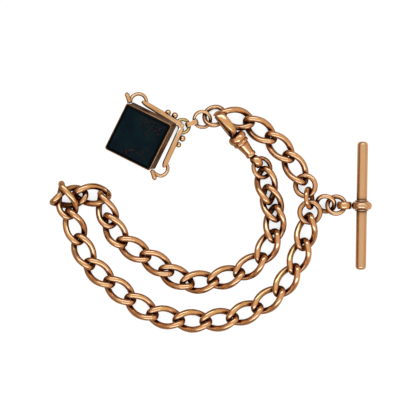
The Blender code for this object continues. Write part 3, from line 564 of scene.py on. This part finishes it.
# ---------------------------------------------------------------- dog clip
CLIP_EYE, CLIP_TIP, CLIP_EYE_Z = (256.4, 161.4), (214.8, 111.6), 2.8
clip_flat = place(*CLIP_TIP) - place(*CLIP_EYE)
CLIP_AXES = heading_frame(clip_flat, roll=math.radians(21.0), pitch=math.radians(13.9))
EYE_AXES = heading_frame(clip_flat, roll=math.radians(12.0), pitch=math.radians(13.9))
CLIP_EYE_AT = place(*CLIP_EYE, CLIP_EYE_Z)
CLIP_BASE = CLIP_EYE_AT + CLIP_AXES @ np.array([EYE_R + EYE_WALL - 0.1, 0, 0])


def on_clip(body):
    return moved(body, CLIP_AXES, CLIP_BASE)


shank = lathe(
    fillet([(-0.55, 0), (-0.55, 0.58), (1.5, 0.58), (1.5, 0.86), (2.1, 0.86), (2.3, 0.6), (2.3, 0)], 0.1, False), 32, False
)
piece("clip_eye_loop", together(moved(eye_ring, EYE_AXES @ UPRIGHT, CLIP_EYE_AT), on_clip(shank)), ROSE, "clip_eye", ["clip_eye"])

profile = fillet(
    [(0.12, 0.65), (1.35, 0.65), (1.35, 1.0), (2.6, 1.05), (5.1, 1.4), (5.1, 2.02), (4.6, 1.96), (1.6, 1.52), (1.36, 1.46),
     (1.12, 1.62), (0.6, 1.7), (0.26, 1.6), (0.12, 1.36)],
    0.16, True,
)
piece("clip_barrel_body", on_clip(lathe(profile, 56, True)), ROSE, "clip", ["clip_barrel"])

PIN_AT = (7.35, -2.16)
profile = fillet(
    [(5.16, 1.32), (8.6, 1.32), (8.6, 2.2), (8.3, 2.68), (7.5, 2.94), (6.7, 2.76), (6.32, 2.4), (6.1, 2.4), (5.8, 2.58),
     (5.4, 2.56), (5.16, 2.4)],
    0.2, True,
)


def block(low, high):
    points = [(x, y, z) for x in (low[0], high[0]) for y in (low[1], high[1]) for z in (low[2], high[2])]
    return points, [(0, 1, 3, 2), (4, 6, 7, 5), (0, 4, 5, 1), (2, 3, 7, 6), (0, 2, 6, 4), (1, 5, 7, 3)]


collar = carved(
    "clip_collar_band",
    on_clip(lathe(profile, 56, True)),
    [on_clip(rod((PIN_AT[0], -1.24, PIN_AT[1]), (PIN_AT[0], 1.24, PIN_AT[1]), 0.76, 28, 0.12))],
    [on_clip(block((6.35, -0.88, -3.6), (9.2, 0.88, -1.1))),
     on_clip(rod((PIN_AT[0], -3, PIN_AT[1]), (PIN_AT[0], 3, PIN_AT[1]), 0.36, 20, 0.0))],
)
finish_piece("clip_collar_band", collar, ROSE, "clip", ["clip_collar"])

hook_line = [
    (5.6, 0, 0), (8.2, 0, 0), (8.8, 0, 0.25), (9.5, 0, 0.96), (10.4, 0, 1.44), (11.7, 0, 1.76), (13.0, 0, 1.84), (14.2, 0, 1.72),
    (15.5, 0, 1.42), (16.6, 0, 1.0), (17.42, 0, 0.22), (17.66, 0, -0.65), (17.55, 0, -1.45),
]
hook_halves = [
    (1.1, 1.1), (1.05, 0.98), (0.94, 0.85), (0.86, 0.7), (0.9, 0.64), (1.06, 0.6), (1.18, 0.6), (1.25, 0.59),
    (1.28, 0.57), (1.26, 0.55), (1.18, 0.5), (1.04, 0.44), (0.84, 0.34),
]
line, halves = smooth(hook_line, 6), smooth(hook_halves, 6)
piece(
    "clip_hook_bar",
    on_clip(loft(line, [(0, 1, 0)] * len(line), [section(36, a, b, 2.5) for a, b in halves], (0.0, 0.25))),
    ROSE, "clip", ["clip_hook"],
)

hook_mesh = bpy.data.objects["clip_hook_bar"].data
worn_from = np.array([np.array(v.co) * 1000 for v in hook_mesh.vertices])[:, :2] - place(230.3, 127.6)[:2]
layer = hook_mesh.attributes.new("wear_and_glint", "FLOAT", "POINT")
layer.data.foreach_set("value", np.clip(1.9 - np.linalg.norm(worn_from, axis=1) / 0.8, 0, 0.9).astype(np.float32))

gate_line = [(7.35, 0, -2.16), (8.6, 0, -2.12), (10.0, 0, -1.96), (13.4, 0, -1.75), (16.4, 0, -1.6), (16.95, 0, -1.55)]
gate_halves = [(0.72, 0.5), (0.78, 0.46), (0.92, 0.46), (0.95, 0.44), (0.86, 0.38), (0.66, 0.26)]
line, halves = smooth(gate_line, 6), smooth(gate_halves, 6)
gate = carved(
    "clip_gate_bar",
    on_clip(loft(line, [(0, 1, 0)] * len(line), [section(32, a, b, 2.8) for a, b in halves], (0.0, 0.2))),
    [on_clip(rod((PIN_AT[0], -0.78, PIN_AT[1]), (PIN_AT[0], 0.78, PIN_AT[1]), 0.7, 28, 0.06))],
    [on_clip(rod((PIN_AT[0], -2, PIN_AT[1]), (PIN_AT[0], 2, PIN_AT[1]), 0.36, 20, 0.0))],
)
finish_piece("clip_gate_bar", gate, ROSE, "clip_gate", ["clip_gate"])
piece(
    "clip_gate_pin_rivet",
    on_clip(rod((PIN_AT[0], -1.2, PIN_AT[1]), (PIN_AT[0], 1.2, PIN_AT[1]), 0.3, 20, 0.1)),
    ROSE, "clip", ["clip_gate_pin"],
)
line = smooth([(6.42, 0, -1.38), (7.2, 0, -1.36), (8.2, 0, -1.32), (9.4, 0, -1.08), (10.2, 0, -0.85)], 6)
piece(
    "clip_gate_spring_leaf",
    on_clip(loft(line, [(0, 1, 0)] * len(line), [section(24, 0.55, 0.06, 4.0)] * len(line), (0.0, 0.05))),
    STEEL, "clip", ["clip_gate_spring"],
)

# ---------------------------------------------------------------- fob
FOB_AXIS_Z, FOB_SLOPE = 6.5, 0.3465
FOB_X = unit((0.312, -0.950, 0.0))
FOB_Y = np.array([-FOB_X[1], FOB_X[0], 0.0])
FOB_AT = place(141.2, 136.7, FOB_AXIS_Z)
FRAME_NORMAL = unit(np.array([0, 0, 1.0]) + FOB_SLOPE * FOB_Y)
STONE_AXES = turn_about(FOB_X, math.radians(19.5)) @ np.stack([FOB_X, FOB_Y, np.cross(FOB_X, FOB_Y)], 1)
BAIL_MID = place(191.75, 123.2, 1.16)
BAIL_AXES = heading_frame(place(196.3, 121.5) - place(188.1, 124.6))


def on_frame(px, py, lift=0.0):
    spot = place(px, py)
    out = (spot - FOB_AT)[:2] @ FOB_Y[:2]
    spot[2] = FOB_AXIS_Z - FOB_SLOPE * out
    return spot + FRAME_NORMAL * lift


def on_stone(body):
    return moved(body, STONE_AXES, FOB_AT)


def square(half, corner, cut, z, steps=5):
    """A diamond outline whose points lie on X and Y, with rounded corners: corner on Y and cut on X."""
    out, reach_of = [], half * math.sqrt(2)
    for k in range(4):
        ease = cut if k % 2 == 0 else corner
        a = k * math.pi / 2
        tip = np.array([math.cos(a), math.sin(a)]) * (reach_of - 0.35 * ease)
        s = np.array([(reach_of - ease) * math.cos(a) + ease * math.sin(a), (reach_of - ease) * math.sin(a) - ease * math.cos(a)])
        e = np.array([(reach_of - ease) * math.cos(a) - ease * math.sin(a), (reach_of - ease) * math.sin(a) + ease * math.cos(a)])
        for t in np.linspace(0, 1, steps):
            p = (1 - t) ** 2 * s + 2 * t * (1 - t) * tip + t**2 * e
            out.append((p[0], p[1] * STONE_STRETCH, z))
    return out


def stacked(levels):
    count = len(levels[0])
    points = [p for level in levels for p in level]
    faces = grid_faces(len(levels), count, False)
    faces.append(tuple(range(count))[::-1])
    faces.append(tuple((len(levels) - 1) * count + c for c in range(count)))
    return points, faces


HALF, RIM = STONE_SIDE / 2, STONE_THICK / 2 - 0.42


def rim_level(inset, z):
    return square(HALF - inset, 0.5, 0.38, z)


outside = [
    rim_level(0.1, -RIM), rim_level(0.04, -RIM + 0.05), rim_level(0.0, -RIM + 0.16), rim_level(0.0, -RIM + 0.42), rim_level(0.05, -RIM + 0.52),
    rim_level(0.14, -RIM + 0.6), rim_level(0.16, -RIM + 0.8), rim_level(0.16, RIM - 0.8), rim_level(0.14, RIM - 0.6), rim_level(0.05, RIM - 0.52),
    rim_level(0.0, RIM - 0.42), rim_level(0.0, RIM - 0.16), rim_level(0.04, RIM - 0.05), rim_level(0.1, RIM),
]
bezel = carved(
    "fob_bezel_case",
    on_stone(stacked(outside)),
    [],
    [on_stone(stacked([square(HALF - 0.32, 0.35, 0.3, z0), square(HALF - 0.32, 0.35, 0.3, z1)])) for z0, z1 in ((0.35, 4.0), (-4.0, -0.35))],
)
finish_piece("fob_bezel_case", bezel, FOB, "fob_stone", ["fob_bezel"], 30.0)
for name, way in (("fob_stone_front", 1), ("fob_stone_back", -1)):
    levels = [
        square(HALF - 0.38, 0.4, 0.3, way * 0.4), square(HALF - 0.38, 0.4, 0.3, way * (RIM + 0.04)),
        square(HALF - 0.42, 0.4, 0.3, way * (RIM + 0.08)), square(HALF - 1.06, 0.5, 0.3, way * (STONE_THICK / 2 - 0.02)),
        square(HALF - 1.12, 0.5, 0.28, way * STONE_THICK / 2),
    ]
    piece(name + "_slab", on_stone(stacked(levels[::way])), STONE, "fob_stone", [name], 8.0)

PIN_START = (HALF * math.sqrt(2) - 0.38) + 0.06
PIN_END = PIN_START + 3.5
for name, way in (("fob_pin_upper", -1), ("fob_pin_lower", 1)):
    profile = fillet(
        [(PIN_START, 0), (PIN_START, 0.36), (PIN_END - 0.3, 0.36), (PIN_END - 0.3, 0.5), (PIN_END - 0.08, 0.5), (PIN_END, 0.4), (PIN_END, 0)],
        0.08, False,
    )
    piece(name + "_rod", on_stone(lathe([(way * x, r) for x, r in profile], 28, False)), FOB, "fob_stone", [name])

CORNER = (180.7, 125.6)
UPPER_ARM = [(142.2, 101.6), (146.3, 104.4), (152.95, 108.3), (181.05, 125.0)]
RIGHT_ARM = [(181.7, 127.6), (167.3, 159.2), (165.0, 164.0), (163.8, 167.6)]
ARM_HALVES = [0.35, 0.72, 0.84, 0.9]
ARM_THICK = 0.62


def ribbed(half):
    """Outline of a flat arm with fine engraved lines on its two broad faces."""
    out = section(72, half, ARM_THICK, 3.8)
    lines = 0.5 - 0.5 * np.cos(2 * math.pi * out[:, 0] / 0.42)
    flat = np.clip((np.abs(out[:, 1]) / ARM_THICK - 0.86) / 0.1, 0, 1) * np.clip((0.86 - np.abs(out[:, 0]) / half) / 0.1, 0, 1)
    out[:, 1] *= 1 - 0.035 * lines**3 * flat
    return out


def arm(spots, widths):
    line = [on_frame(*spot) for spot in spots]
    across = np.cross(FRAME_NORMAL, line[-1] - line[0])
    line, widths = smooth(line, 8), smooth([[w] for w in widths], 8)[:, 0]
    return loft(line, [across] * len(line), [ribbed(w) for w in widths], (0.12, 0.12))


def bent_wire(spots, radius, steps=9, sides=18):
    line = smooth([on_frame(*spot) for spot in spots], steps)
    return loft(line, [FRAME_NORMAL] * len(line), [section(sides, radius, radius)] * len(line), (radius * 0.7, radius * 0.7))


def knuckle(way):
    x0, x1 = PIN_START + 0.3, PIN_END - 0.42
    inner = 0.36 + RUN_FIT
    profile = fillet(
        [(x0, inner), (x1, inner), (x1, 0.74), (x1 - 0.3, 0.78), (x1 - 0.42, 0.71), (x0 + 0.42, 0.71), (x0 + 0.3, 0.78), (x0, 0.74)], 0.09, True
    )
    axes = np.stack([FOB_X, FOB_Y, np.cross(FOB_X, FOB_Y)], 1)
    return moved(lathe([(way * x, r) for x, r in profile], 32, True), axes, FOB_AT)


def bead(px, py, lift, radius):
    """A soldered bead."""
    at = on_frame(px, py, lift)
    return ball(at, radius)


arms = together(arm(UPPER_ARM, ARM_HALVES), arm(RIGHT_ARM, ARM_HALVES[::-1]),
                rod(on_frame(*CORNER, -ARM_THICK * 0.97), on_frame(*CORNER, ARM_THICK * 0.97), 1.0, 36, 0.1))
piece("fob_frame_arms", arms, FOB, "fob_frame", ["fob_frame"], 42.0)
# Painted highlight: the arms are painted creamier towards their corner.
arms_mesh = bpy.data.objects["fob_frame_arms"].data
from_corner = np.array([np.array(v.co) * 1000 for v in arms_mesh.vertices])[:, :2] - place(*CORNER)[:2]
layer = arms_mesh.attributes.new("wear_and_glint", "FLOAT", "POINT")
layer.data.foreach_set("value", np.clip(1.0 - np.linalg.norm(from_corner, axis=1) / 8.0, 0, 0.8).astype(np.float32))
scrolls = together(
    bent_wire([(130.9, 103.4), (131.5, 99.4), (134.4, 95.8), (139, 94.3), (143.5, 95.8), (146.2, 99.5), (146.8, 104.4)], 0.57),
    bent_wire([(153.2, 172.2), (156.8, 174.7), (161.1, 176.0), (165.1, 174.4), (167.6, 170.7), (167.6, 166.6), (165.4, 162.8)], 0.57),
    knuckle(1), knuckle(-1),
)
piece("fob_frame_scrolls", scrolls, FOB, "fob_frame", [])
bow = bent_wire([(177.0, 122.0), (180.6, 119.7), (185.4, 120.0), (188.6, 123.2), (189.1, 127.2), (187.0, 131.0), (183, 132.8), (178.8, 131.2)], 0.55)
piece("fob_frame_bow", bow, FOB_WIRE, "fob_frame", [])
beads = together(bead(168.0, 112.6, 0.1, 0.92), bead(174.6, 115.6, 0.2, 1.02), bead(182.2, 138.6, 0.2, 1.0), bead(178.5, 144.9, 0.1, 0.86))
piece("fob_frame_beads", beads, FOB, "fob_frame", [])

angle = np.arange(96) * 2 * math.pi / 96
c, s = np.cos(angle), np.sin(angle)
bail_curve = even(np.stack([1.98 * np.sign(c) * np.abs(c) ** 0.5, 1.02 * np.sign(s) * np.abs(s) ** 0.5, 0 * angle], 1), 96)
piece(
    "fob_bail_band", moved(loop_band(bail_curve, 0.74, 0.13, 20, (0, 0, 1), 4.0), BAIL_AXES @ UPRIGHT, BAIL_MID), FOB, "fob_bail", ["fob_bail"]
)


# ---------------------------------------------------------------- painted shade: how shut in each point is
def shade_crevices(reach_mm=4.6, rays=18):
    golden = math.pi * (3 - math.sqrt(5))
    heights = (np.arange(rays) + 0.5) / rays
    around = [
        (math.sqrt(1 - h * h) * math.cos(golden * k), math.sqrt(1 - h * h) * math.sin(golden * k), h) for k, h in enumerate(heights)
    ]
    points, faces = [], []
    for o in PIECES:
        base = len(points)
        points += [tuple(v.co) for v in o.data.vertices]
        faces += [tuple(base + i for i in p.vertices) for p in o.data.polygons]
    tree = BVHTree.FromPolygons(points, faces)
    far = reach_mm * 0.001
    for o in PIECES:
        values = np.zeros(len(o.data.vertices), np.float32)
        for i, v in enumerate(o.data.vertices):
            n = v.normal
            side = n.orthogonal().normalized()
            other = n.cross(side)
            start = v.co + n * 0.00004
            shut = 0.0
            for x, y, h in around:
                hit = tree.ray_cast(start, side * x + other * y + n * h, far)
                if hit[0] is not None:
                    shut += 1.0 - (hit[3] / far) ** 1.5
            # Painted shade: the share of rays that meet a piece close by.
            values[i] = min(1.0, 1.5 * shut / rays)
        layer = o.data.attributes.get("painted_shade") or o.data.attributes.new("painted_shade", "FLOAT", "POINT")
        layer.data.foreach_set("value", values)


def set_painted_shade(name, level):
    """Sets the painted shade of a piece from each point's place and its present painted shade."""
    data = bpy.data.objects[name].data
    co = np.empty(len(data.vertices) * 3)
    data.vertices.foreach_get("co", co)
    values = np.empty(len(data.vertices), np.float32)
    layer = data.attributes["painted_shade"].data
    layer.foreach_get("value", values)
    layer.foreach_set("value", np.clip(level(co.reshape(-1, 3) * 1000, values), 0, 1).astype(np.float32))


def stone_height(co):
    return np.abs((co - FOB_AT) @ STONE_AXES[:, 2])


shade_crevices()
# The case is darkened throughout, with painted shade on its recessed sides between the rims, on the stones' bevelled
# edges, painted black, and on the gate under the hook.
set_painted_shade("fob_bezel_case", lambda co, was: np.where(stone_height(co) < RIM - 0.45, np.maximum(was, 0.5), 0.36 + 0.5 * was))
for name in ("fob_stone_front_slab", "fob_stone_back_slab"):
    set_painted_shade(name, lambda co, was: np.where(stone_height(co) < STONE_THICK / 2 - 0.01, 1.0, 0.0))
set_painted_shade("clip_gate_bar", lambda co, was: np.maximum(was, 0.42))

# ---------------------------------------------------------------- floor, light, camera
# Brightness of the light tent from the horizon up, on its two sides.
DOME_LEFT = [(0.0, (0.15, 0.09, 0.05)), (0.35, (0.32, 0.26, 0.21)), (0.75, (0.82, 0.84, 0.86)), (1.0, (0.86, 0.89, 0.92))]
DOME_RIGHT = [(0.0, (0.60, 0.55, 0.51)), (0.3, (0.70, 0.68, 0.66)), (0.75, (0.84, 0.86, 0.88)), (1.0, (0.86, 0.89, 0.92))]
floor_mesh = bpy.data.meshes.new("floor")
floor_mesh.from_pydata([(-4, -4, 0), (4, -4, 0), (4, 4, 0), (-4, 4, 0)], [], [(0, 1, 2, 3)])
floor = bpy.data.objects.new("floor", floor_mesh)
bpy.context.scene.collection.objects.link(floor)
floor.visible_shadow = False
paper = bpy.data.materials.new("white_paper")
paper.use_nodes = True
tree = paper.node_tree
tree.nodes.clear()
out = tree.nodes.new("ShaderNodeOutputMaterial")
# The paper is white and darkens only close under the chain: a painted shadow from its ambient occlusion. What the metal
# mirrors of it is a painted glow, dimmer than what is seen, with painted shade tinted orange close under the chain and
# painted light brighter towards +X.
open_sky = tree.nodes.new("ShaderNodeAmbientOcclusion")
open_sky.samples = 8
open_sky.inputs["Distance"].default_value = 0.012
# Like backlit film: white where nothing lies behind it, and a piece that swings below the floor still shows.
seen_with_painted_shadow = tree.nodes.new("ShaderNodeBsdfTransparent")
tree.links.new(spread(tree, open_sky.outputs["AO"], 0.05, 0.36, 0.5, 1.0), seen_with_painted_shadow.inputs["Color"])
# Painted glow: an emission seen only in reflections, with painted shade where shut in and brighter towards +X.
mirrored_painted_glow = tree.nodes.new("ShaderNodeEmission")
tree.links.new(tint(tree, spread(tree, open_sky.outputs["AO"], 0.5, 1.0), (1.0, 0.62, 0.36), (1.0, 0.92, 0.86)), mirrored_painted_glow.inputs["Color"])
where = tree.nodes.new("ShaderNodeSeparateXYZ")
tree.links.new(tree.nodes.new("ShaderNodeTexCoord").outputs["Object"], where.inputs[0])
level = math_node(tree, "MULTIPLY", spread(tree, open_sky.outputs["AO"], 0.3, 1.0, 0.16, 1.0), spread(tree, where.outputs["X"], 0.01, 0.07, 0.43, 0.85))
tree.links.new(level, mirrored_painted_glow.inputs["Strength"])
path = tree.nodes.new("ShaderNodeLightPath")
mix = tree.nodes.new("ShaderNodeMixShader")
tree.links.new(path.outputs["Is Camera Ray"], mix.inputs[0])
tree.links.new(mirrored_painted_glow.outputs[0], mix.inputs[1])
tree.links.new(seen_with_painted_shadow.outputs[0], mix.inputs[2])
tree.links.new(mix.outputs[0], out.inputs["Surface"])
floor_mesh.materials.append(paper)

world = bpy.data.worlds.new("studio")
bpy.context.scene.world = world
world.use_nodes = True
tree = world.node_tree
tree.nodes.clear()
out = tree.nodes.new("ShaderNodeOutputWorld")
where = tree.nodes.new("ShaderNodeTexCoord").outputs["Generated"]
parts = tree.nodes.new("ShaderNodeSeparateXYZ")
tree.links.new(where, parts.inputs[0])


def dome(stops):
    ramp = tree.nodes.new("ShaderNodeValToRGB")
    ramp.color_ramp.interpolation = "EASE"
    while len(ramp.color_ramp.elements) < len(stops):
        ramp.color_ramp.elements.new(0.5)
    for element, (at, level) in zip(ramp.color_ramp.elements, stops):
        element.position, element.color = at, (*level, 1)
    tree.links.new(parts.outputs["Z"], ramp.inputs[0])
    return ramp.outputs[0]


left, right = dome(DOME_LEFT), dome(DOME_RIGHT)
studio = tree.nodes.new("ShaderNodeBackground")
tree.links.new(tint(tree, spread(tree, parts.outputs["X"], 0.1, 0.8), left, right), studio.inputs["Color"])
plain = tree.nodes.new("ShaderNodeBackground")
plain.inputs["Color"].default_value = (1.0, 1.0, 1.0, 1)
plain.inputs["Strength"].default_value = 1.04
path = tree.nodes.new("ShaderNodeLightPath")
mix = tree.nodes.new("ShaderNodeMixShader")
tree.links.new(path.outputs["Is Camera Ray"], mix.inputs[0])
tree.links.new(studio.outputs[0], mix.inputs[1])
tree.links.new(plain.outputs[0], mix.inputs[2])
tree.links.new(mix.outputs[0], out.inputs["Surface"])


def softbox(name, at, size, power, colour):
    light = bpy.data.lights.new(name, "AREA")
    light.shape, light.size, light.size_y, light.energy, light.color = "RECTANGLE", size[0], size[1], power, colour
    o = bpy.data.objects.new(name, light)
    o.location = at
    o.rotation_euler = (-Vector(at)).to_track_quat("-Z", "Y").to_euler()
    o.visible_camera = False
    bpy.context.scene.collection.objects.link(o)
    return o


# Daylight-blue lamps: their glints on the copper-coloured metal come out cream.
softbox("softbox_far", (0.0, 0.45, 0.45), (0.8, 0.2), 2.2, (0.27, 0.53, 1.0))
softbox("softbox_near", (0.0, -0.45, 0.45), (0.8, 0.2), 2.2, (0.27, 0.53, 1.0))

camera = bpy.data.cameras.new("camera")
camera.lens, camera.sensor_width = 200.0, 36.0
camera.clip_start, camera.clip_end = 0.05, 20.0
eye_at = bpy.data.objects.new("camera", camera)
aim = place(208, 208, 2.4) * 0.001
eye_at.location = (aim[0], aim[1], aim[2] + 0.065 * 200.0 / 18.0)
bpy.context.scene.collection.objects.link(eye_at)
bpy.context.scene.camera = eye_at
bpy.context.scene.view_settings.view_transform = "Standard"
bpy.context.scene.view_settings.look = "None"

bpy.context.view_layer.update()
